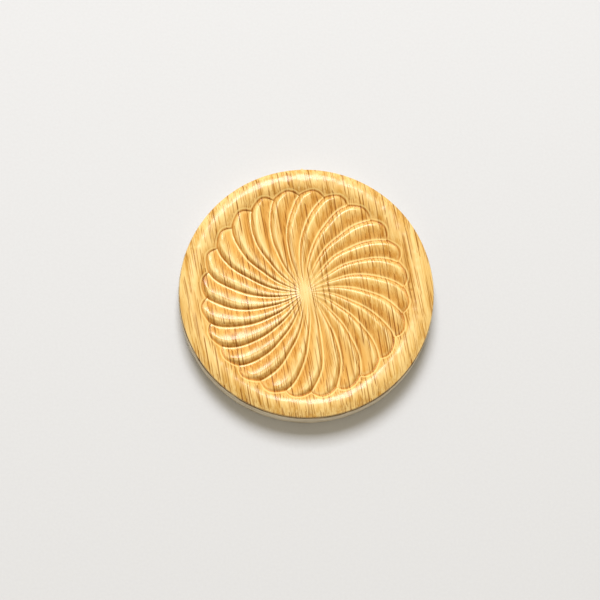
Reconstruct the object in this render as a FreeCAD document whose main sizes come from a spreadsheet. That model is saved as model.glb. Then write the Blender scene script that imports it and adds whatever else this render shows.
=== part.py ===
import FreeCAD, Part
import math
import os

import Sketcher

# Butter print: a round oak face plate carved with a swirl of petals inside a raised rim, glued to a
# plain backing disc of paler wood that stands a little proud of it all round.
#
# Frame: the origin is the centre of the flat back, +Z points up through the carved face and +Y is
# twelve o'clock on the face. All sizes are in millimetres and all angles in degrees.

SIZES = [
    # alias, value, meaning
    ("disc_diameter", 76.0, "outside diameter of the backing disc"),
    ("backing_thickness", 6.2, "thickness of the pale backing disc"),
    ("backing_arris", 0.3, "small bevel on the lower edge of the backing disc"),
    ("glue_thickness", 0.3, "thickness of the glue line"),
    ("face_setback", 0.35, "how far the oak plate's edge stays back from the backing disc's"),
    ("glue_recess", 0.25, "how far the glue stays back from the oak plate's edge"),
    ("floor_thickness", 0.8, "oak left under the deepest carving"),
    ("face_edge_height", 1.5, "upright oak edge outside the bead"),
    ("bead_height", 1.0, "crest of the bead above the oak edge"),
    ("bead_outer_width", 3.55, "outside edge of the oak to the crest of the bead"),
    ("bead_inner_width", 2.6, "crest to inner foot of the bead"),
    ("bead_inner_drop", 1.1, "crest down to the inner foot of the bead"),
    ("rim_slope_width", 2.3, "foot of the bead to the deepest ring of the carving"),
    ("petal_count", 24, "petals in the swirl"),
    ("petal_height", 1.2, "height of a petal above the groove at its shoulder"),
    ("petal_gap", 0.2, "width of the groove floor between two petals"),
    ("petal_end_length", 3.2, "length over which the outer end of a petal rounds off"),
    ("petal_reach", 1.6, "how far a petal's end runs out over the rim slope"),
    ("petal_root_angle", 40.3, "direction of the first petal at the hub, from +X"),
    ("swirl_radius", 30.4, "radius of the arc that each petal follows"),
    ("floor_rise", 0.7, "rise of the groove floor from the ring to the hub"),
    ("hub_diameter", 5.4, "smooth hub in the middle of the swirl"),
    ("hub_height", 0.35, "height of the hub above the groove floor round it"),
]

CREST_SHARE = 0.66             # share of a petal's width on the gentle side of its crest
ROOT_DEPTH = 0.25              # how far a petal is rooted below the groove floor
ROOT_SHARE = 0.8               # start of a petal, as a share of the hub's radius
BODY_SECTIONS = 5              # sections along a petal, from the hub to its shoulder
END_TURNS = (30, 54, 72, 84)   # sections round its outer end, in degrees of a quarter ellipse
END_SQUARENESS = 0.75          # under 1, the end is fuller than an ellipse


def size(alias):
    """Expression for one driving size."""
    return "Sizes." + alias


# Radii and levels that follow from the driving sizes, as expressions.
FACE_RADIUS = size("disc_diameter") + " / 2 - " + size("face_setback")
CREST_RADIUS = FACE_RADIUS + " - " + size("bead_outer_width")
FOOT_RADIUS = CREST_RADIUS + " - " + size("bead_inner_width")
RING_RADIUS = FOOT_RADIUS + " - " + size("rim_slope_width")
SHOULDER_RADIUS = RING_RADIUS + " + " + size("petal_reach") + " - " + size("petal_end_length")
HUB_RADIUS = size("hub_diameter") + " / 2"

FACE_BOTTOM = size("backing_thickness") + " + " + size("glue_thickness")
EDGE_TOP = FACE_BOTTOM + " + " + size("face_edge_height")
CREST_TOP = EDGE_TOP + " + " + size("bead_height")
FOOT_TOP = CREST_TOP + " - " + size("bead_inner_drop")
FLOOR = FACE_BOTTOM + " + " + size("floor_thickness")
HUB_FLOOR = FLOOR + " + " + size("floor_rise")
HUB_TOP = HUB_FLOOR + " + " + size("hub_height")

doc = FreeCAD.newDocument("ButterPrint")


def add_sheet():
    """Write the driving sizes to a spreadsheet, one aliased cell for each."""
    sheet = doc.addObject("Spreadsheet::Sheet", "Sizes")
    for row, (alias, value, meaning) in enumerate(SIZES, start=1):
        sheet.set("A%d" % row, meaning)
        sheet.set("B%d" % row, str(value))
        sheet.setAlias("B%d" % row, alias)
    doc.recompute()
    return sheet


def add_body(label):
    """A PartDesign body whose label names its node."""
    body = doc.addObject("PartDesign::Body", label)
    body.Label = label
    return body


def origin_feature(body, role):
    """One of the body's own origin planes or axes."""
    return next(item for item in body.Origin.OriginFeatures if item.Role == role)


def add_sketch(body, name, role="XY_Plane"):
    """An empty sketch on one of the body's origin planes."""
    sketch = body.newObject("Sketcher::SketchObject", name)
    sketch.AttachmentSupport = (origin_feature(body, role), [""])
    sketch.MapMode = "FlatFace"
    return sketch


def bind(sketch, name, expression, kind, *where):
    """Add a named driving constraint whose value is an expression."""
    index = sketch.addConstraint(Sketcher.Constraint(kind, *where, sketch.evalExpression(expression)))
    sketch.renameConstraint(index, name)
    sketch.setExpression("Constraints." + name, expression)


def bind_point(sketch, name, edge, end, across, up):
    """Tie one end of an edge to a place on the sketch, measured from its origin."""
    bind(sketch, name + "_across", across, "DistanceX", -1, 1, edge, end)
    bind(sketch, name + "_up", up, "DistanceY", -1, 1, edge, end)


def close_outline(sketch, edge_count):
    """Join each edge's end to the next edge's start, all the way round."""
    for edge in range(edge_count):
        sketch.addConstraint(Sketcher.Constraint("Coincident", edge, 2, (edge + 1) % edge_count, 1))


def arc_over(start, crest, end):
    """Two arcs that meet level at a crest, as (first, second) sketch edges."""
    arcs = []
    for foot in (start, end):
        across = crest.x - foot.x
        rise = crest.y - foot.y
        radius = (across * across + rise * rise) / (2 * rise)
        top_angle = math.pi / 2
        foot_angle = math.atan2(foot.y - crest.y + radius, -across)
        low, high = sorted((top_angle, foot_angle))
        centre = FreeCAD.Vector(crest.x, crest.y - radius, 0)
        circle = Part.Circle(centre, FreeCAD.Vector(0, 0, 1), radius)
        arcs.append(Part.ArcOfCircle(circle, low, high))
    return arcs


def add_disc(body, diameter, bottom, thickness):
    """A plain round disc, padded up from the level of its lower face."""
    sketch = add_sketch(body, body.Label + "_outline")
    sketch.setExpression("AttachmentOffset.Base.z", bottom)
    radius = sketch.evalExpression(diameter) / 2
    sketch.addGeometry(Part.Circle(FreeCAD.Vector(), FreeCAD.Vector(0, 0, 1), radius))
    sketch.addConstraint(Sketcher.Constraint("Coincident", 0, 3, -1, 1))
    bind(sketch, "diameter", diameter, "Diameter", 0)
    pad = body.newObject("PartDesign::Pad", body.Label + "_pad")
    pad.Profile = sketch
    pad.setExpression("Length", thickness)
    doc.recompute()
    return pad


def make_backing_disc():
    """Plain disc that carries the carved face; its lower edge is just broken with a bevel."""
    body = add_body("backing_disc")
    pad = add_disc(body, size("disc_diameter"), "0", size("backing_thickness"))
    lower_edges = ["Edge%d" % number for number, edge in enumerate(pad.Shape.Edges, start=1)
                   if edge.BoundBox.ZMax < pad.Length.Value / 2]
    bevel = body.newObject("PartDesign::Chamfer", "backing_bevel")
    bevel.Base = (pad, lower_edges)
    bevel.setExpression("Size", size("backing_arris"))
    return body


def make_glue_film():
    """Thin glue line between the two pieces, a little back from the oak's edge."""
    body = add_body("glue_film")
    add_disc(body, "2 * (%s - %s)" % (FACE_RADIUS, size("glue_recess")),
             size("backing_thickness"), size("glue_thickness"))
    return body


def add_blank(body):
    """Face plate before its petals: flat below, with the bead, the rim slope, the dished floor and the
    hub turned on its upper side."""
    sketch = add_sketch(body, "face_profile", "XZ_Plane")
    places = [
        ("axis_low", "0", FACE_BOTTOM),
        ("edge_low", FACE_RADIUS, FACE_BOTTOM),
        ("edge_high", FACE_RADIUS, EDGE_TOP),
        ("crest", CREST_RADIUS, CREST_TOP),
        ("foot", FOOT_RADIUS, FOOT_TOP),
        ("ring", RING_RADIUS, FLOOR),
        ("hub_edge", HUB_RADIUS, HUB_FLOOR),
        ("hub_top", "0", HUB_TOP),
    ]
    points = {name: FreeCAD.Vector(sketch.evalExpression(across), sketch.evalExpression(up), 0)
              for name, across, up in places}
    bead_outer, bead_inner = arc_over(points["edge_high"], points["crest"], points["foot"])
    hub_dome = arc_over(points["hub_edge"], points["hub_top"], points["hub_edge"])[0]
    edges = [
        Part.LineSegment(points["axis_low"], points["edge_low"]),
        Part.LineSegment(points["edge_low"], points["edge_high"]),
        bead_outer,
        bead_inner,
        Part.LineSegment(points["foot"], points["ring"]),
        Part.LineSegment(points["ring"], points["hub_edge"]),
        hub_dome,
        Part.LineSegment(points["hub_top"], points["axis_low"]),
    ]
    sketch.addGeometry(edges)
    close_outline(sketch, len(edges))
    for edge, (name, across, up) in enumerate(places):
        if name in ("axis_low", "hub_top"):
            sketch.addConstraint(Sketcher.Constraint("PointOnObject", edge, 1, -2))
            bind(sketch, name + "_up", up, "DistanceY", -1, 1, edge, 1)
        else:
            bind_point(sketch, name, edge, 1, across, up)
    sketch.addConstraint(Sketcher.Constraint("Vertical", 2, 3, 2, 2))
    sketch.addConstraint(Sketcher.Constraint("Vertical", 3, 3, 3, 1))
    sketch.addConstraint(Sketcher.Constraint("Vertical", 6, 3, 6, 2))
    turned = body.newObject("PartDesign::Revolution", "face_blank")
    turned.Profile = sketch
    turned.ReferenceAxis = (sketch, ["V_Axis"])
    turned.Angle = 360
    return turned


def petal_sections():
    """Radius, as an expression, and fullness of each section of a petal.

    The body sections run from the hub to the shoulder. The end sections follow a quarter ellipse, so
    both the width and the height close down smoothly at the outer end."""
    root_radius = "%s * (%s)" % (ROOT_SHARE, HUB_RADIUS)
    sections = []
    for step in range(BODY_SECTIONS):
        share = step / (BODY_SECTIONS - 1)
        radius = "(1 - %r) * %s + %r * (%s)" % (share, root_radius, share, SHOULDER_RADIUS)
        sections.append((radius, 1.0))
    for turn in END_TURNS:
        radius = "%s + %s * sin(%d)" % (SHOULDER_RADIUS, size("petal_end_length"), turn)
        sections.append((radius, math.cos(math.radians(turn)) ** END_SQUARENESS))
    return sections


def add_petal_section(body, number, radius, fullness):
    """Cross-section of a petal: a root below the floor, a gentle side, a crest and a steep side.

    It stands upright, square to the line from the disc's centre, at the point where the petal's arc
    crosses the given radius."""
    swing = "asin((%s) / (2 * %s))" % (radius, size("swirl_radius"))
    direction = "%s * 1 deg - %s" % (size("petal_root_angle"), swing)
    half_pitch = "180 / " + size("petal_count")
    width = "%r * (2 * (%s) * tan(%s) - %s)" % (fullness, radius, half_pitch, size("petal_gap"))
    way_in = "((%s) - (%s)) / ((%s) - (%s))" % (RING_RADIUS, radius, RING_RADIUS, HUB_RADIUS)
    floor = "%s + %s * max(0; %s)" % (FLOOR, size("floor_rise"), way_in)
    height = "%r * %s * min(1; (%s) / (%s))" % (fullness, size("petal_height"), radius, SHOULDER_RADIUS)

    sketch = add_sketch(body, "petal_section_%d" % number, "XZ_Plane")
    about_upright = FreeCAD.Rotation(FreeCAD.Vector(0, 1, 0), 90)
    sketch.AttachmentOffset = FreeCAD.Placement(FreeCAD.Vector(), about_upright)
    sketch.setExpression("AttachmentOffset.Rotation.Angle", "%s + 90 deg" % direction)
    sketch.setExpression("AttachmentOffset.Base.x", "(%s) * cos(%s)" % (radius, direction))
    sketch.setExpression("AttachmentOffset.Base.y", floor)
    sketch.setExpression("AttachmentOffset.Base.z", "-(%s) * sin(%s)" % (radius, direction))

    places = [
        ("root_gentle", "-(%s) / 2" % width, "-%r" % ROOT_DEPTH),
        ("root_steep", "(%s) / 2" % width, "-%r" % ROOT_DEPTH),
        ("side_steep", "(%s) / 2" % width, "0"),
        ("crest", "%r * (%s)" % (CREST_SHARE - 0.5, width), height),
        ("side_gentle", "-(%s) / 2" % width, "0"),
    ]
    points = {name: FreeCAD.Vector(sketch.evalExpression(across), sketch.evalExpression(up), 0)
              for name, across, up in places}
    steep, gentle = arc_over(points["side_steep"], points["crest"], points["side_gentle"])
    edges = [
        Part.LineSegment(points["root_gentle"], points["root_steep"]),
        Part.LineSegment(points["root_steep"], points["side_steep"]),
        steep,
        gentle,
        Part.LineSegment(points["side_gentle"], points["root_gentle"]),
    ]
    sketch.addGeometry(edges)
    close_outline(sketch, len(edges))
    for edge, (name, across, up) in enumerate(places):
        if name.startswith("side"):
            bind(sketch, name + "_across", across, "DistanceX", -1, 1, edge, 1)
            sketch.addConstraint(Sketcher.Constraint("PointOnObject", edge, 1, -1))
        else:
            bind_point(sketch, name, edge, 1, across, up)
    sketch.addConstraint(Sketcher.Constraint("Vertical", 2, 3, 2, 2))
    sketch.addConstraint(Sketcher.Constraint("Vertical", 3, 3, 3, 1))
    return sketch


def make_carved_face():
    """Oak plate with its rim and the swirl of petals."""
    body = add_body("carved_face")
    add_blank(body)
    sections = [add_petal_section(body, number, radius, fullness)
                for number, (radius, fullness) in enumerate(petal_sections(), start=1)]
    doc.recompute()
    petal = body.newObject("PartDesign::AdditiveLoft", "petal")
    petal.Profile = sections[0]
    petal.Sections = sections[1:]
    petal.Ruled = False
    doc.recompute()
    swirl = body.newObject("PartDesign::PolarPattern", "swirl")
    swirl.Originals = [petal]
    swirl.Axis = (origin_feature(body, "Z_Axis"), [""])
    swirl.Angle = 360
    swirl.setExpression("Occurrences", size("petal_count"))
    body.Tip = swirl
    return body


add_sheet()
bodies = [make_backing_disc(), make_glue_film(), make_carved_face()]
doc.recompute()

for item in doc.Objects:
    if "Invalid" in item.State or "Error" in item.State:
        raise RuntimeError(item.Label + " failed: " + str(item.State))
os.makedirs("parts", exist_ok=True)
for body in bodies:
    shape = body.Shape
    if shape.isNull() or not shape.isValid():
        raise RuntimeError(body.Label + " has no valid shape")
    shape.exportStep(os.path.join("parts", body.Label + ".step"))
    print(body.Label, "volume %.1f" % shape.Volume, shape.BoundBox)
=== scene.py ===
import math

import bpy
import numpy as np
from mathutils import Matrix, Vector


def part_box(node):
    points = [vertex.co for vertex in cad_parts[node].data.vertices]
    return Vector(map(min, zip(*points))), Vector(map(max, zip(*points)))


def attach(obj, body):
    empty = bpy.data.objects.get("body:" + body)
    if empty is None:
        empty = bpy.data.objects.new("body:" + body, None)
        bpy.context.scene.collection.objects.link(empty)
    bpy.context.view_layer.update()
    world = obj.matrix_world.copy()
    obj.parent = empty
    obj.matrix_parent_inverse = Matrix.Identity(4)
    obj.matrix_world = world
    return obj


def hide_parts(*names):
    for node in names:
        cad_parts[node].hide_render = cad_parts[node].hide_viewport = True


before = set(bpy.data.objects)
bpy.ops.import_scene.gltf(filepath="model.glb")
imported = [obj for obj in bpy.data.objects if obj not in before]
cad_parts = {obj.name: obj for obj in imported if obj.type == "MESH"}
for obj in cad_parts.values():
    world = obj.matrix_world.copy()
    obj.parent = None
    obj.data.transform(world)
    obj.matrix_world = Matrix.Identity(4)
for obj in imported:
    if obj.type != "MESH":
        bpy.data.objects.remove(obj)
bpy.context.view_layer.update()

MM = 0.001

# ---------------------------------------------------------------- sizes, read from the frame

face_low, face_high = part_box("carved_face")
glue_low, glue_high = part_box("glue_film")
back_low, back_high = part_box("backing_disc")

R = back_high.x                      # radius of the backing disc
EDGE_R = face_high.x                 # radius of the oak plate
FACE_BOTTOM = face_low.z             # underside of the oak
CREST_Z = face_high.z                # top of the rim's bead

# ---------------------------------------------------------------- the carving, in metres and radians

PETALS = 24
PITCH = 2 * math.pi / PETALS         # angle from one groove to the next
PETAL_HEIGHT = 1.36 * MM             # of a petal, three quarters of the way out to the disc's edge
EDGE_Z = CREST_Z - 1.05 * MM         # upper end of the oak's upright edge
CREST_R = 0.898 * R                  # crest of the bead
BEAD_CURVE = 5.0 * MM                # radius of the bead's rounded top
CUSP_R = 0.782 * R                   # where two petal ends and a groove meet
REACH = 0.043 * R                    # how far a petal's end bows out past the cusps
CREST_SHARE = 0.69                   # place of a petal's crest across its width
HUB_Z = CREST_Z - 0.80 * MM          # smooth hub
FIRST_CUSP = math.radians(3.8)       # direction of the first cusp, from +X
SWIRL_SHIFT = (-0.50 * MM, -0.10 * MM)   # the swirl was cut a little off the disc's centre
SWIRL_SHRINK = 0.022                 # the oak has shrunk this much across its grain

# Small damage on the oak. A splinter stands out of the edge: its direction in degrees from +X, and its
# length in millimetres. A chip is missing near a petal's end: its direction, its distance from the axis
# as a share of R, and its depth in millimetres.
SPLINTERS = [(92.2, 0.45)]
SPLINTER_WIDTH = 0.35                # in degrees
CHIPS = [(5.8, 0.806, 0.22), (1.4, 0.818, 0.26), (-3.2, 0.806, 0.20),
         (113.0, 0.822, 0.14), (117.5, 0.815, 0.12), (101.0, 0.824, 0.12)]
CHIP_SIZE = 0.33 * MM


def smooth_step(low, high, x):
    t = np.clip((x - low) / (high - low), 0.0, 1.0)
    return t * t * (3.0 - 2.0 * t)


def soft_min(a, b, k):
    """Smaller of two heights, with the edge between them rounded over k."""
    h = np.clip(0.5 + 0.5 * (b - a) / k, 0.0, 1.0)
    return b + (a - b) * h - k * h * (1.0 - h)


def cove(distance, radius):
    """Distance that starts level, so that the bottom of a groove is rounded."""
    return np.sqrt(distance * distance + radius * radius) - radius


def noise_waves(rng, count, shortest, longest):
    """Random plane waves: a smooth seeded wobble over the face."""
    lengths = np.exp(rng.uniform(math.log(shortest), math.log(longest), count))
    directions = rng.uniform(0, 2 * math.pi, count)
    phases = rng.uniform(0, 2 * math.pi, count)
    return 2 * math.pi / lengths, directions, phases


def wobble(waves, x, y):
    total = np.zeros_like(x)
    for k, direction, phase in zip(*waves):
        total += np.sin(k * (x * math.cos(direction) + y * math.sin(direction)) + phase)
    return total / math.sqrt(len(waves[0]))


# ---------------------------------------------------------------- the carved surface

def sweep(r):
    """How far a groove has turned, anticlockwise, from its cusp in to the radius r."""
    inward = np.clip((CUSP_R - r) / R, 0.0, None)
    start = 0.01
    power = 0.767
    return math.radians(34.5) * ((inward + start) ** power - start ** power)


def groove_lean(r):
    """Cosine of the angle between a groove and the line to the centre."""
    step = 0.02 * MM
    turn = (sweep(r - step) - sweep(r + step)) / (2 * step)
    return 1.0 / np.sqrt(1.0 + (r * turn) ** 2)


def end_bow(across):
    """Outline of a petal's end: 0 at the cusps, 1 where it bows out furthest."""
    return np.sin(math.pi * np.clip(across, 0.0, 1.0) ** 0.78)


def end_radius(across):
    return CUSP_R + REACH * end_bow(across)


def end_lean(across):
    """Cosine of the angle between the outline of a petal's end and a circle."""
    step = 0.01
    rise = (end_radius(across + step) - end_radius(across - step)) / (2 * step)
    return 1.0 / np.sqrt(1.0 + (rise / (PITCH * CUSP_R)) ** 2)


def petal_size(r):
    """Height of a petal above its grooves; it fades out at the hub."""
    return PETAL_HEIGHT * (r / (0.75 * R)) ** 0.80 * smooth_step(0.01 * R, 0.16 * R, r)


def crest_level(r):
    """Level that the petals' crests reach: a little higher further out than at the hub."""
    rise = 0.38 * MM
    return HUB_Z + rise * smooth_step(0.0, 0.55 * R, r)


def bead_level(r):
    """Height of the rim: a rounded bead that runs down inwards to the petals' ends."""
    outward = np.clip(r - CREST_R, 0.0, None) / (EDGE_R - CREST_R)
    inward = np.clip(CREST_R - r, 0.0, None)
    round_way = 2.4 * MM
    levelling = 0.05 / MM
    rounded = np.minimum(inward, round_way)
    beyond = inward - rounded
    drop = BEAD_CURVE - np.sqrt(BEAD_CURVE ** 2 - rounded ** 2)
    slope = round_way / math.sqrt(BEAD_CURVE ** 2 - round_way ** 2)
    drop = drop + slope * beyond - levelling * beyond ** 2
    return CREST_Z - (CREST_Z - EDGE_Z) * outward ** 2 - drop


def outline_cut(distance):
    """Depth of the fine groove outside the petals' ends: deepest at the outline, with a level bottom."""
    depth = 0.30 * MM
    width = 0.42 * MM
    level = 0.32 * MM
    return depth * np.exp(-distance / width) - 0.5 * level * np.exp(-distance / level)


def valley_level(across):
    """Bottom of the groove that runs round a petal's end."""
    return bead_level(end_radius(across)) - outline_cut(0.0)


def petal_section(pitch):
    """Places across a petal of this width, and its height there: 0 in both grooves and 1 at the crest.

    The height is the sum of the slope, which is level in the grooves, steepest just inside the first
    one, falls off to the crest, and drops steeply to the second groove."""
    across = np.linspace(0.0, 1.0, 401)
    middle = 0.5 * (across[1:] + across[:-1])
    gentle_foot = min(0.19, 0.75 * MM / pitch)
    steep_foot = min(0.06, 0.18 * MM / pitch)
    way_up = np.clip(middle / CREST_SHARE, 0.0, 1.0)
    climb = (1.0 - 0.30 * way_up - 0.70 * way_up ** 4) * smooth_step(0.0, gentle_foot, middle)
    drop = smooth_step(CREST_SHARE, CREST_SHARE + 0.21, middle)
    drop = drop * smooth_step(0.0, steep_foot, 1.0 - middle)
    slope = climb / climb.sum() - drop / drop.sum()
    return across, np.concatenate([[0.0], np.cumsum(slope)])


def petal_level(across, r):
    """Height of the carving inside the scalloped outline, along one row of points."""
    foot_curve = 0.42 * MM
    end_height = 1.30 * MM
    end_width = 0.80 * MM
    shoulder_curve = 0.38 * MM
    nearly_zero = 1e-6
    height = petal_size(r)
    pitch = float(np.mean(PITCH * r * groove_lean(r))) + nearly_zero
    body = crest_level(r) - height + height * np.interp(across, *petal_section(pitch))
    end_way = cove((end_radius(across) - r) * end_lean(across), foot_curve)
    end = valley_level(across) + end_height * (1.0 - np.exp(-end_way / end_width))
    return soft_min(body, end, shoulder_curve)


def rim_level(across, r):
    """Height of the rim outside the scalloped outline."""
    return bead_level(r) - outline_cut(r - end_radius(across))


def spaced(weight, count):
    """Places from 0 to 1, closer together where the weight is larger."""
    fine = np.linspace(0.0, 1.0, 2001)
    total = np.concatenate([[0.0], np.cumsum(weight(0.5 * (fine[1:] + fine[:-1])))])
    return np.interp(np.linspace(0.0, total[-1], count + 1), total, fine)


def face_columns(count=36):
    """Places across all petals and their directions, closer together at the grooves and the crests."""
    def weight(a):
        edge = np.minimum(a, 1.0 - a)
        return 1.0 + 4.0 * np.exp(-edge / 0.06) + 0.8 * np.exp(-((a - 0.72) / 0.10) ** 2)
    across = spaced(weight, count)[:-1]
    cusps = FIRST_CUSP + np.arange(PETALS)[:, None] * PITCH
    return np.tile(across, PETALS), (cusps + across * PITCH).ravel()


def local_bump(x, y, angle, radius, size):
    """1 at a place on the face, given by its direction and radius, falling to 0 over its size."""
    px = radius * math.cos(math.radians(angle))
    py = radius * math.sin(math.radians(angle))
    return np.exp(-((x - px) ** 2 + (y - py) ** 2) / size ** 2)


def groove_shade_closeness(across, r):
    """Share of painted shade: 1 low on a groove's steep wall and at a petal's end, nearly 0 half a
    millimetre off and at the hub.
    """
    up_wall = 0.25 * MM
    width = 0.30 * MM
    cusp_gap = 0.5 * MM
    pitch = PITCH * r * groove_lean(r)
    beside = np.minimum(across * pitch + up_wall, np.abs((1.0 - across) * pitch - up_wall))
    from_end = end_radius(across) - r
    at_end = np.abs(from_end) * end_lean(across) + cusp_gap * (1.0 - smooth_step(0.0, 0.14, across))
    inside = np.where(from_end > 0.0, np.minimum(beside, at_end), at_end)
    return np.exp(-(inside / width) ** 2) * smooth_step(0.05 * R, 0.32 * R, r)


def painted_highlight_closeness(across, r):
    """Share of painted highlight: 1 on a petal's crest, and less on the hub and the bead's crest."""
    past_crest = 0.04
    width = 0.30 * MM
    bead_width = 1.0 * MM
    pitch = PITCH * r * groove_lean(r)
    beside = (across - CREST_SHARE - past_crest) * pitch
    short_of_end = smooth_step(0.4 * MM, 1.2 * MM, end_radius(across) - r)
    crest = np.exp(-(beside / width) ** 2) * short_of_end * smooth_step(0.03 * R, 0.2 * R, r)
    bead = 0.30 * np.exp(-((r - 0.892 * R) / bead_width) ** 2)
    hub = 0.75 * (1.0 - smooth_step(0.03 * R, 0.16 * R, r))
    return np.maximum(np.maximum(crest, bead), hub)


def painted_glint_closeness(across, r):
    """Share of a painted glint: 1 on a thin line beside a groove, nearly 1 just outside a petal's end."""
    past_groove = 0.22 * MM
    past_end = 0.60 * MM
    width = 0.20 * MM
    pitch = PITCH * r * groove_lean(r)
    from_end = end_radius(across) - r
    beside = np.where(from_end > 0.0, across * pitch - past_groove, -from_end - past_end)
    share = np.where(from_end > 0.0, 1.0, 0.95)
    return share * np.exp(-(beside / width) ** 2) * smooth_step(0.05 * R, 0.3 * R, r)


def painted_shade_share(across, r):
    """Share of painted shade: 1 low on a petal's gentle side and less just outside its end."""
    outer_width = 1.7 * MM
    low_side = smooth_step(0.05, 0.17, across) * (1.0 - smooth_step(0.26, 0.64, across))
    from_end = end_radius(across) - r
    inside = low_side * smooth_step(0.2 * MM, 1.4 * MM, from_end) * smooth_step(0.06 * R, 0.3 * R, r)
    outside = 0.60 * smooth_step(0.0, 0.15 * MM, -from_end) * np.exp(-(from_end / outer_width) ** 2)
    return np.maximum(inside, outside)


def face_points():
    """Rows of points over the oak plate, from the hub out to the edge, down and under.

    Also returns the shades: named values for each point, which the oak's material reads."""
    across, turn = face_columns()
    middle = CUSP_R + 0.5 * REACH
    hub_radius = 0.3 * MM
    fine_steps = [0.07, 0.07, 0.08, 0.10, 0.12, 0.15, 0.18, 0.22, 0.26, 0.30, 0.35, 0.40, 0.45, 0.50, 0.55]
    near_outline = np.concatenate([[0.0], np.cumsum(fine_steps)]) * MM
    plain = np.linspace(near_outline[-1], middle - hub_radius, 42)[1:]
    rows = []
    for distance in np.concatenate([near_outline, plain])[::-1]:
        share = 1.0 - distance / middle
        bow = smooth_step(0.55, 1.0, share)
        r = share * (middle + (end_radius(across) - middle) * bow)
        rows.append((r, petal_level(across, r)))
    arris = 0.3 * MM
    out = spaced(lambda s: 1.0 + 5.0 * np.exp(-s / 0.05) + 1.5 * np.exp(-(1.0 - s) / 0.03), 30)[1:]
    for share in out:
        r = end_radius(across) + share * (EDGE_R - arris - end_radius(across))
        rows.append((r, rim_level(across, r)))
    level = 0 * across
    top = rows[-1][1]
    for bend in np.radians([30, 60, 90]):
        out_to = EDGE_R - arris + arris * math.sin(bend)
        rows.append((out_to + level, top - arris * (1 - math.cos(bend))))
    lower_arris = 0.15 * MM
    side_top = top - arris
    side_bottom = FACE_BOTTOM + lower_arris
    for share in (0.33, 0.67, 1.0):
        rows.append((EDGE_R + level, side_top + share * (side_bottom - side_top)))
    rows.append((EDGE_R - lower_arris + level, FACE_BOTTOM + level))
    r = np.array([row[0] for row in rows])
    z = np.array([row[1] for row in rows])
    theta = turn[None, :] + sweep(r)
    # Shades for the oak's colour: painted groove shade, painted highlight, painted glint and painted shade.
    shades = {"painted_groove_shade": groove_shade_closeness(across, r), "crest": painted_highlight_closeness(across, r),
              "painted_glint": painted_glint_closeness(across, r), "painted_shade": painted_shade_share(across, r)}
    return r, theta, z, shades


def grid_mesh(name, x, y, z, top_centre, bottom_centre, shades=None):
    """A closed skin from rings of points, with a fan to a point at each end.

    Shades are named values, one for each point of the rings, for the material to read."""
    rows, columns = x.shape
    points = np.stack([x.ravel(), y.ravel(), z.ravel()], 1)
    points = np.vstack([points, top_centre, bottom_centre])
    index = np.arange(rows * columns).reshape(rows, columns)
    ahead = np.roll(index, -1, axis=1)
    quads = np.stack([index[:-1], index[1:], ahead[1:], ahead[:-1]], -1).reshape(-1, 4)
    top = [(int(a), int(b), rows * columns) for a, b in zip(index[0], ahead[0])]
    bottom = [(int(b), int(a), rows * columns + 1) for a, b in zip(index[-1], ahead[-1])]
    mesh = bpy.data.meshes.new(name)
    mesh.from_pydata(points.tolist(), [], quads.tolist() + top + bottom)
    mesh.shade_smooth()
    for shade_name, values in (shades or {}).items():
        layer = mesh.attributes.new(shade_name, "FLOAT", "POINT")
        layer.data.foreach_set("value", np.append(values.ravel(), [0.0, 0.0]))
    piece = bpy.data.objects.new(name, mesh)
    bpy.context.scene.collection.objects.link(piece)
    return piece


def make_oak_face():
    """The oak plate: petals, grooves, hub, bead and edge, with the small unevenness of hand work."""
    r, theta, z, shades = face_points()
    at_edge = smooth_step(EDGE_R - 0.6 * MM, EDGE_R - 0.2 * MM, r) * smooth_step(FACE_BOTTOM, EDGE_Z, z)
    for angle, length in SPLINTERS:
        r = r + at_edge * length * MM * np.exp(-((np.degrees(theta) - angle) / SPLINTER_WIDTH) ** 2)
    swirl = 1.0 - smooth_step(0.84 * R, 0.94 * R, r)
    x = r * np.cos(theta) * (1.0 - swirl * SWIRL_SHRINK) + swirl * SWIRL_SHIFT[0]
    y = r * np.sin(theta) + swirl * SWIRL_SHIFT[1]
    for angle, radius, depth in CHIPS:
        chip = local_bump(x, y, angle, radius * R, CHIP_SIZE)
        z = z - depth * MM * chip
        # Painted shade in each chip too.
        shades["painted_groove_shade"] = np.maximum(shades["painted_groove_shade"], 0.9 * chip)
    rng = np.random.default_rng(24)
    inside = 1.0 - smooth_step(0.86 * R, 0.97 * R, r)
    drift = 0.17 * MM * inside           # the grooves wander sideways by about this much
    small_lumps = 0.016 * MM
    broad_lumps = 0.030 * MM
    x = x + drift * wobble(noise_waves(rng, 14, 8 * MM, 30 * MM), x, y)
    y = y + drift * wobble(noise_waves(rng, 14, 8 * MM, 30 * MM), x, y)
    top = smooth_step(FACE_BOTTOM + 0.3 * MM, FACE_BOTTOM + 0.6 * MM, z)
    z = z + small_lumps * top * wobble(noise_waves(rng, 20, 1.8 * MM, 6 * MM), x, y)
    z = z + broad_lumps * top * inside * wobble(noise_waves(rng, 14, 6 * MM, 20 * MM), x, y)
    middle = (float(x[0].mean()), float(y[0].mean()), float(z[0].mean()))
    return grid_mesh("oak_face", x, y, z, middle, (0, 0, FACE_BOTTOM), shades)


def polar_disc(name, radii, levels, ripple):
    """A turned piece: its profile runs from the top's middle over the edge to the bottom's middle.

    The ripple gives each point its final radius."""
    columns = 720
    turn = np.linspace(0.0, 2 * math.pi, columns, endpoint=False)
    r = np.array(radii)[:, None] + np.zeros(columns)
    z = np.array(levels)[:, None] + np.zeros(columns)
    r = ripple(r, z, turn)
    return grid_mesh(name, r * np.cos(turn), r * np.sin(turn), z, (0, 0, levels[0]), (0, 0, levels[-1]))


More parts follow.
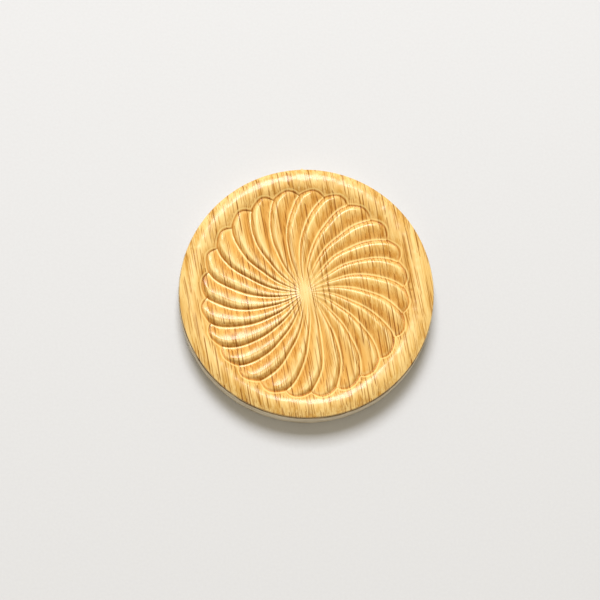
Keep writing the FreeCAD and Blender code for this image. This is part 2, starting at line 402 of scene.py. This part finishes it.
def make_backing():
    """The pale backing disc: plain faces, a fine arris above and a bevel below."""
    top = back_high.z
    bottom = back_low.z
    arris = 0.18 * MM
    bevel = 0.30 * MM
    faces = [0.2 * R, 0.4 * R, 0.6 * R, 0.8 * R, 0.92 * R, 0.97 * R]
    radii = faces + [R - 2.5 * arris, R - arris, R - 0.3 * arris, R]
    levels = [top] * len(faces) + [top, top, top - 0.3 * arris, top - arris]
    for share in np.linspace(0.1, 0.9, 7):
        radii.append(R)
        levels.append(top - arris + share * (bottom + bevel + arris - top))
    radii += [R, R - 0.35 * bevel, R - bevel, R - 2.5 * bevel]
    levels += [bottom + bevel, bottom + 0.3 * bevel, bottom, bottom]
    radii += faces[::-1]
    levels += [bottom] * len(faces)
    rng = np.random.default_rng(62)
    dents = noise_waves(rng, 18, 2.5 * MM, 25 * MM)

    def ripple(r, z, turn):
        """The sawn and sanded edge isn't quite true, least of all at its lower corner."""
        at_edge = smooth_step(0.97 * R, 0.995 * R, r)
        low = 1.0 - smooth_step(bottom, bottom + 1.2 * MM, z)
        x = R * np.cos(turn) + 2.0 * z
        y = R * np.sin(turn) + 1.5 * z
        depth = -0.03 + (0.03 + 0.04 * low) * np.clip(wobble(dents, x, y), -1.0, 1.0)
        return r + at_edge * depth * MM

    return polar_disc("backing", radii, levels, ripple)


def make_glue_line():
    """The glue line between oak and backing, squeezed out unevenly on to the backing's ledge."""
    rng = np.random.default_rng(7)
    waves = noise_waves(rng, 16, 1.5 * MM, 20 * MM)
    edge = glue_high.x
    spread = EDGE_R + 0.10 * MM
    height = glue_high.z - glue_low.z
    radii = [0.5 * edge, 0.95 * edge, edge, EDGE_R - 0.05 * MM, EDGE_R + 0.05 * MM, spread]
    radii += [0.95 * edge, 0.5 * edge]
    levels = [glue_high.z] * 3 + [glue_low.z + share * height for share in (0.5, 0.2, 0.0)]
    levels += [glue_low.z] * 2
    unevenness = 0.07 * MM

    def ripple(r, z, turn):
        """The glue stands out by a different amount all the way round."""
        at_edge = smooth_step(0.96 * edge, 0.99 * edge, r)
        x = edge * np.cos(turn)
        y = edge * np.sin(turn)
        return r + at_edge * unevenness * np.clip(wobble(waves, x, y), -1.5, 1.0)

    return polar_disc("glue_line", radii, levels, ripple)


# ---------------------------------------------------------------- material nodes

def new_material(name):
    material = bpy.data.materials.new(name)
    material.use_nodes = True
    tree = material.node_tree
    return material, tree, tree.nodes["Principled BSDF"]


def make_node(tree, kind, inputs, **settings):
    """Add a shader node; each input is a socket to link or a plain value."""
    node = tree.nodes.new(kind)
    for name, value in settings.items():
        setattr(node, name, value)
    for place, value in inputs.items():
        if isinstance(value, bpy.types.NodeSocket):
            tree.links.new(value, node.inputs[place])
        else:
            node.inputs[place].default_value = value
    return node


def calc(tree, operation, *values):
    return make_node(tree, "ShaderNodeMath", dict(enumerate(values)), operation=operation).outputs[0]


def calc_vectors(tree, operation, first, second):
    return make_node(tree, "ShaderNodeVectorMath", {0: first, 1: second}, operation=operation).outputs[0]


def ramp(tree, value, low, high, start=0.0, end=1.0):
    """Smooth step of a value from low to high, mapped to start and end."""
    inputs = {"Value": value, "From Min": low, "From Max": high, "To Min": start, "To Max": end}
    node = make_node(tree, "ShaderNodeMapRange", inputs, interpolation_type="SMOOTHSTEP")
    return node.outputs["Result"]


def blend_colours(tree, factor, first, second, blend_type="MIX"):
    inputs = {0: factor, 6: first, 7: second}
    node = make_node(tree, "ShaderNodeMix", inputs, data_type="RGBA", blend_type=blend_type)
    return node.outputs[2]


def noise(tree, point, detail, roughness=0.5):
    inputs = {"Vector": point, "Scale": 1.0, "Detail": detail, "Roughness": roughness}
    return make_node(tree, "ShaderNodeTexNoise", inputs).outputs["Fac"]


def stretched(tree, point, across, along, deep=None):
    """Grain coordinates with one noise cell across x along x deep millimetres in size."""
    return calc_vectors(tree, "MULTIPLY", point, (1.0 / across, 1.0 / along, 1.0 / (deep or across)))


def grain_point(tree, heading):
    """Object coordinates in millimetres, turned so that the grain runs along Y."""
    coordinates = make_node(tree, "ShaderNodeTexCoord", {}).outputs["Object"]
    scale = make_node(tree, "ShaderNodeVectorMath", {0: coordinates, "Scale": 1 / MM}, operation="SCALE")
    inputs = {"Vector": scale.outputs[0], "Angle": math.radians(-heading)}
    return make_node(tree, "ShaderNodeVectorRotate", inputs, rotation_type="Z_AXIS").outputs[0]


def split(tree, point):
    return make_node(tree, "ShaderNodeSeparateXYZ", {0: point}).outputs


def join(tree, x, y, z):
    return make_node(tree, "ShaderNodeCombineXYZ", {0: x, 1: y, 2: z}).outputs[0]


def shade(tree, name):
    """A shade that the mesh holds for each of its points."""
    return make_node(tree, "ShaderNodeAttribute", {}, attribute_name=name).outputs["Fac"]


def add_bump(tree, shader, height, distance, socket="Normal"):
    """Raise the surface, or only the coat with "Coat Normal", by the height times the distance."""
    normal = make_node(tree, "ShaderNodeBump", {"Height": height, "Distance": distance}).outputs[0]
    tree.links.new(normal, shader.inputs[socket])


# ---------------------------------------------------------------- oak

GRAIN_HEADING = 10.0       # the grain leans this far anticlockwise from twelve o'clock, in degrees
RING_SPACING = 4.4         # of the growth rings, in millimetres
RING_TILT = 28.0           # of the growth rings to the face's normal, in degrees

OAK_DARK = (0.62, 0.330, 0.062, 1)
OAK_LIGHT = (0.83, 0.575, 0.215, 1)
# Painted highlight on the petals' crests, the bead's crest and the hub.
PAINTED_HIGHLIGHT_TINT = (0.99, 0.785, 0.37, 1)
FINE_PORES = (0.42, 0.165, 0.015, 1)
WIDE_PORES = (0.31, 0.11, 0.006, 1)
# Painted shade low on the petals' gentle sides and just outside their ends.
PAINTED_SHADE_TINT = (0.90, 0.70, 0.42, 1)
# Painted shade in the grooves, round the petals' ends and in the chips.
PAINTED_GROOVE_SHADE = (0.66, 0.36, 0.05, 1)
# Painted glint, a thin pale line beside the grooves and round the petals' ends.
PAINTED_GLINT_TINT = (1.0, 0.76, 0.29, 1)


def pore_lines(tree, point, spacing, length, width, share):
    """Thin dark lines along the grain, in millimetres; share is the part of all cells that holds one."""
    sizes = (1.0 / spacing, 1.0 / length, 0.5 / spacing)
    scaled = calc_vectors(tree, "MULTIPLY", point, sizes)
    cells = make_node(tree, "ShaderNodeTexVoronoi", {"Vector": scaled, "Scale": 1.0, "Randomness": 1.0})
    across, along, _ = split(tree, calc_vectors(tree, "SUBTRACT", scaled, cells.outputs["Position"]))
    share_of_cell = width / spacing
    beside = calc(tree, "ABSOLUTE", across)
    line = ramp(tree, beside, 0.34 * share_of_cell, 0.58 * share_of_cell, 1.0, 0.0)
    ends = ramp(tree, calc(tree, "ABSOLUTE", along), 0.30, 0.50, 1.0, 0.0)
    chance = split(tree, cells.outputs["Color"])
    lit = ramp(tree, calc(tree, "SUBTRACT", share, chance[0]), -0.02, 0.02)
    darkness = calc(tree, "MULTIPLY_ADD", chance[1], 0.6, 0.4)
    strength = calc(tree, "MULTIPLY", lit, darkness)
    return calc(tree, "MULTIPLY", calc(tree, "MULTIPLY", line, ends), strength)


def oak_material():
    """Varnished oak: rows of open pores, fine streaks, and growth rings that cut the relief aslant, under
    painted highlights, shade and glints.
    """
    material, tree, shader = new_material("varnished_oak")
    straight = grain_point(tree, GRAIN_HEADING)
    bend = noise(tree, stretched(tree, straight, across=16, along=70), detail=1.0)
    x, y, z = split(tree, straight)
    point = join(tree, calc(tree, "MULTIPLY_ADD", calc(tree, "SUBTRACT", bend, 0.5), 1.6, x), y, z)
    u, _, w = split(tree, point)

    # Across each growth ring the phase runs from 0 to 1. The early wood, round 0, has the most pores.
    tilt = math.radians(RING_TILT)
    depth = calc(tree, "MULTIPLY", w, math.sin(tilt) / RING_SPACING)
    rings = calc(tree, "MULTIPLY_ADD", u, math.cos(tilt) / RING_SPACING, depth)
    uneven = noise(tree, stretched(tree, point, across=5, along=120), detail=1.0)
    rings = calc(tree, "MULTIPLY_ADD", calc(tree, "SUBTRACT", uneven, 0.5), 0.9, rings)
    phase = calc(tree, "FRACT", rings)
    early = calc(tree, "MAXIMUM", ramp(tree, phase, 0.12, 0.34, 1.0, 0.0), ramp(tree, phase, 0.94, 1.0))

    wide_share = calc(tree, "MULTIPLY_ADD", early, 0.36, 0.40)
    wide = pore_lines(tree, point, spacing=1.25, length=13.0, width=0.38, share=wide_share)
    fine_share = calc(tree, "MULTIPLY_ADD", early, 0.25, 0.48)
    fine = pore_lines(tree, point, spacing=0.62, length=9.0, width=0.27, share=fine_share)

    broad = noise(tree, stretched(tree, point, across=1.4, along=50), detail=2.0)
    streaks = noise(tree, stretched(tree, point, across=0.28, along=14), detail=2.0, roughness=0.6)
    tone = calc(tree, "MULTIPLY_ADD", broad, 0.55, calc(tree, "MULTIPLY", streaks, 0.45))
    tone = calc(tree, "MULTIPLY_ADD", early, -0.04, tone)
    wood = blend_colours(tree, ramp(tree, tone, 0.31, 0.63), OAK_DARK, OAK_LIGHT)
    # What lies on the wood, real pores and painted highlight, shade and glint: where it is, how strong it
    # is, its colour, and how that is blended in.
    for place, strength, colour, blend_type in (
            # painted highlight on the crests, the bead and the hub
            (shade(tree, "crest"), 0.48, PAINTED_HIGHLIGHT_TINT, "MIX"),
            (fine, 0.85, FINE_PORES, "MIX"),
            (wide, 0.95, WIDE_PORES, "MIX"),
            # painted shade on the gentle sides
            (shade(tree, "painted_shade"), 0.85, PAINTED_SHADE_TINT, "MULTIPLY"),
            # painted shade in the grooves and chips
            (shade(tree, "painted_groove_shade"), 0.70, PAINTED_GROOVE_SHADE, "MULTIPLY"),
            # painted glint beside the grooves
            (shade(tree, "painted_glint"), 0.66, PAINTED_GLINT_TINT, "MIX")):
        wood = blend_colours(tree, calc(tree, "MULTIPLY", place, strength), wood, colour, blend_type)
    tree.links.new(wood, shader.inputs["Base Color"])

    pores = calc(tree, "MULTIPLY_ADD", wide, -1.0, calc(tree, "MULTIPLY", fine, -0.4))
    height = calc(tree, "MULTIPLY_ADD", streaks, 0.5, pores)
    add_bump(tree, shader, height, 0.045 * MM)
    add_bump(tree, shader, height, 0.007 * MM, "Coat Normal")
    rough = calc(tree, "MULTIPLY_ADD", wide, 0.25, 0.42)
    tree.links.new(rough, shader.inputs["Roughness"])
    shader.inputs["Specular IOR Level"].default_value = 0.08
    shader.inputs["Coat Weight"].default_value = 0.50
    shader.inputs["Coat Roughness"].default_value = 0.22
    shader.inputs["Coat IOR"].default_value = 1.5
    return material


# ---------------------------------------------------------------- pale wood and glue

PALE_WOOD_DARK = (0.50, 0.415, 0.285, 1)
PALE_WOOD_LIGHT = (0.83, 0.745, 0.59, 1)
SPECK = (0.20, 0.15, 0.10, 1)
GLUE_DARK = (0.10, 0.06, 0.03, 1)
GLUE_DUSTY = (0.25, 0.17, 0.10, 1)


def pale_wood_material():
    """Dry grey-beige wood with fine level layers, faint streaks and short dark specks along the grain."""
    material, tree, shader = new_material("dry_pale_wood")
    point = grain_point(tree, heading=78.0)
    broad = noise(tree, stretched(tree, point, across=1.3, along=30), detail=3.0, roughness=0.6)
    fine = noise(tree, stretched(tree, point, across=0.28, along=6), detail=3.0, roughness=0.6)
    layers = noise(tree, stretched(tree, point, across=30, along=40, deep=0.60), detail=2.0, roughness=0.55)
    tone = calc(tree, "ADD", calc(tree, "MULTIPLY", broad, 0.4), calc(tree, "MULTIPLY", fine, 0.1))
    tone = calc(tree, "MULTIPLY_ADD", layers, 0.5, tone)
    wood = blend_colours(tree, ramp(tree, tone, 0.36, 0.62), PALE_WOOD_DARK, PALE_WOOD_LIGHT)
    specks = pore_lines(tree, point, spacing=0.6, length=4.0, width=0.25, share=0.4)
    wood = blend_colours(tree, calc(tree, "MULTIPLY", specks, 0.14), wood, SPECK)
    tree.links.new(wood, shader.inputs["Base Color"])
    height = calc(tree, "MULTIPLY_ADD", specks, -0.3, calc(tree, "ADD", fine, layers))
    add_bump(tree, shader, height, 0.06 * MM)
    rough = calc(tree, "MULTIPLY_ADD", fine, 0.2, 0.55)
    tree.links.new(rough, shader.inputs["Roughness"])
    return material


def glue_material():
    """Cured brown glue with dust in it."""
    material, tree, shader = new_material("cured_glue")
    point = grain_point(tree, heading=0.0)
    dust = noise(tree, stretched(tree, point, across=0.6, along=0.6), detail=3.0, roughness=0.6)
    colour = blend_colours(tree, ramp(tree, dust, 0.35, 0.7), GLUE_DARK, GLUE_DUSTY)
    tree.links.new(colour, shader.inputs["Base Color"])
    add_bump(tree, shader, dust, 0.05 * MM)
    shader.inputs["Roughness"].default_value = 0.6
    return material


# ---------------------------------------------------------------- the pieces

def place_piece(piece, node, material):
    """Let a piece stand for its CAD node, with its own material."""
    piece.data.materials.append(material)
    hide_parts(node)
    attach(piece, "root")


place_piece(make_oak_face(), "carved_face", oak_material())
place_piece(make_glue_line(), "glue_film", glue_material())
place_piece(make_backing(), "backing_disc", pale_wood_material())


# ---------------------------------------------------------------- floor, light and camera

FLOOR_DARK = (0.585, 0.58, 0.585, 1)
FLOOR_LIGHT = (0.625, 0.625, 0.63, 1)


def make_floor():
    """Plain pale floor, with a slight paper-like unevenness."""
    half = 2.0
    mesh = bpy.data.meshes.new("floor")
    corners = [(-half, -half, 0), (half, -half, 0), (half, half, 0), (-half, half, 0)]
    mesh.from_pydata(corners, [], [(0, 1, 2, 3)])
    floor = bpy.data.objects.new("floor", mesh)
    bpy.context.scene.collection.objects.link(floor)
    material, tree, shader = new_material("pale_floor")
    point = grain_point(tree, heading=0.0)
    grain = noise(tree, stretched(tree, point, across=0.8, along=0.8), detail=3.0)
    colour = blend_colours(tree, grain, FLOOR_DARK, FLOOR_LIGHT)
    tree.links.new(colour, shader.inputs["Base Color"])
    shader.inputs["Roughness"].default_value = 0.8
    mesh.materials.append(material)


def from_angles(azimuth, elevation):
    """Direction towards a point seen at an azimuth from +X and an elevation, in degrees."""
    a = math.radians(azimuth)
    e = math.radians(elevation)
    return Vector((math.cos(e) * math.cos(a), math.cos(e) * math.sin(a), math.sin(e)))


def add_area_light(name, way, distance, width, power, colour):
    """A soft square light that faces the object."""
    light = bpy.data.lights.new(name, "AREA")
    light.shape = "SQUARE"
    light.size = width
    light.energy = power
    light.color = colour
    lamp = bpy.data.objects.new(name, light)
    lamp.location = way * distance
    lamp.rotation_euler = way.to_track_quat("Z", "Y").to_euler()
    bpy.context.scene.collection.objects.link(lamp)


def set_world(colour, strength):
    world = bpy.data.worlds.new("studio")
    world.use_nodes = True
    world.node_tree.nodes["Background"].inputs["Color"].default_value = (*colour, 1.0)
    world.node_tree.nodes["Background"].inputs["Strength"].default_value = strength
    bpy.context.scene.world = world


def add_camera(azimuth, elevation, distance, lens, left, down):
    """A long lens that looks down on the object, with twelve o'clock up in the picture.

    The aim lies left and down of the disc's middle in the picture, by these distances."""
    away = from_angles(azimuth, elevation)
    up = (Vector((0, 1, 0)) - away * away.y).normalized()
    right = up.cross(away)
    aim = Vector((0, 0, EDGE_Z)) - right * left - up * down
    camera_data = bpy.data.cameras.new("camera")
    camera_data.sensor_width = 36.0
    camera_data.lens = lens
    camera_data.clip_start = 0.01
    camera = bpy.data.objects.new("camera", camera_data)
    turned = Matrix((right, up, away)).transposed().to_4x4()
    camera.matrix_world = Matrix.Translation(aim + away * distance) @ turned
    bpy.context.scene.collection.objects.link(camera)
    bpy.context.scene.camera = camera


make_floor()
set_world(colour=(1.0, 0.915, 0.73), strength=0.505)
add_area_light("key_light", from_angles(95, 55), distance=1.8, width=0.76, power=37.0,
               colour=(0.965, 0.99, 1.04))
add_camera(azimuth=-100.0, elevation=76.7, distance=0.60, lens=121.7, left=2.0 * MM, down=2.45 * MM)
bpy.context.scene.view_settings.view_transform = "Standard"
